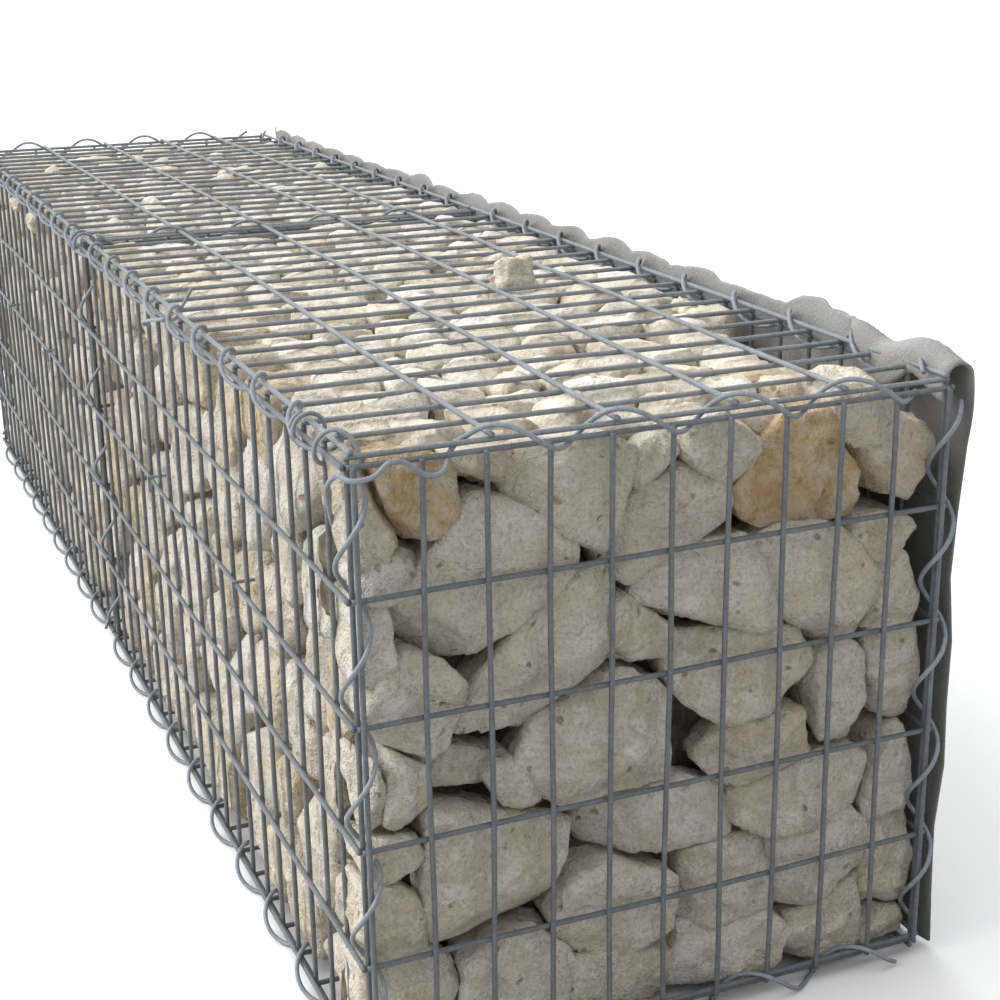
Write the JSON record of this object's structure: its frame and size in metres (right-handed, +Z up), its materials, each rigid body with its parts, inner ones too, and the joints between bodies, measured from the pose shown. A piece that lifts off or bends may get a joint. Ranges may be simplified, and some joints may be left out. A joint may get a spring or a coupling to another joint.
{
  "type": "gabion wall",
  "caption": "Low wall of stone-filled welded wire baskets, laced along every edge with spiral binders and backed with felt.",
  "frame": {"origin": "on the ground, below the middle of the bounding box", "axes": "+X along the wall to its near end, -Y to its open long side, +Y to the side backed with felt, +Z up"},
  "size_m": [2.0534, 0.5374, 0.5576],
  "materials": {
    "mesh_wire": "dull galvanised",
    "spiral_wire": "galvanised, a little brighter than the mesh",
    "tie_wire": "galvanised",
    "stone": "rough broken limestone",
    "felt": "matt needled felt"
  },
  "bodies": {
    "root": {"front_panel_near": "mesh_wire", "back_panel_near": "mesh_wire", "lid_panel_near": "mesh_wire", "base_panel_near": "mesh_wire", "front_panel_far": "mesh_wire", "back_panel_far": "mesh_wire", "lid_panel_far": "mesh_wire", "base_panel_far": "mesh_wire", "end_panel_near": "mesh_wire", "end_panel_far": "mesh_wire", "partition_panel": "mesh_wire", "spiral_top_front_near": "spiral_wire", "spiral_top_back_far": "spiral_wire", "spiral_bottom_back_near": "spiral_wire", "spiral_bottom_front_far": "spiral_wire", "spiral_top_front_far": "spiral_wire", "spiral_top_back_near": "spiral_wire", "spiral_bottom_back_far": "spiral_wire", "spiral_bottom_front_near": "spiral_wire", "spiral_top_end_near": "spiral_wire", "spiral_top_end_far": "spiral_wire", "spiral_bottom_end_near": "spiral_wire", "spiral_bottom_end_far": "spiral_wire", "spiral_corner_front_near": "spiral_wire", "spiral_corner_back_far": "spiral_wire", "spiral_corner_back_near": "spiral_wire", "spiral_corner_front_far": "spiral_wire", "spiral_joint_top": "spiral_wire", "spiral_joint_bottom": "spiral_wire", "spiral_joint_front": "spiral_wire", "spiral_joint_back": "spiral_wire", "cross_ties_near": "tie_wire", "cross_ties_far": "tie_wire", "stone_fill_near": "stone", "stone_fill_far": "stone", "felt_sheet": "felt"}
  },
  "joints": []
}
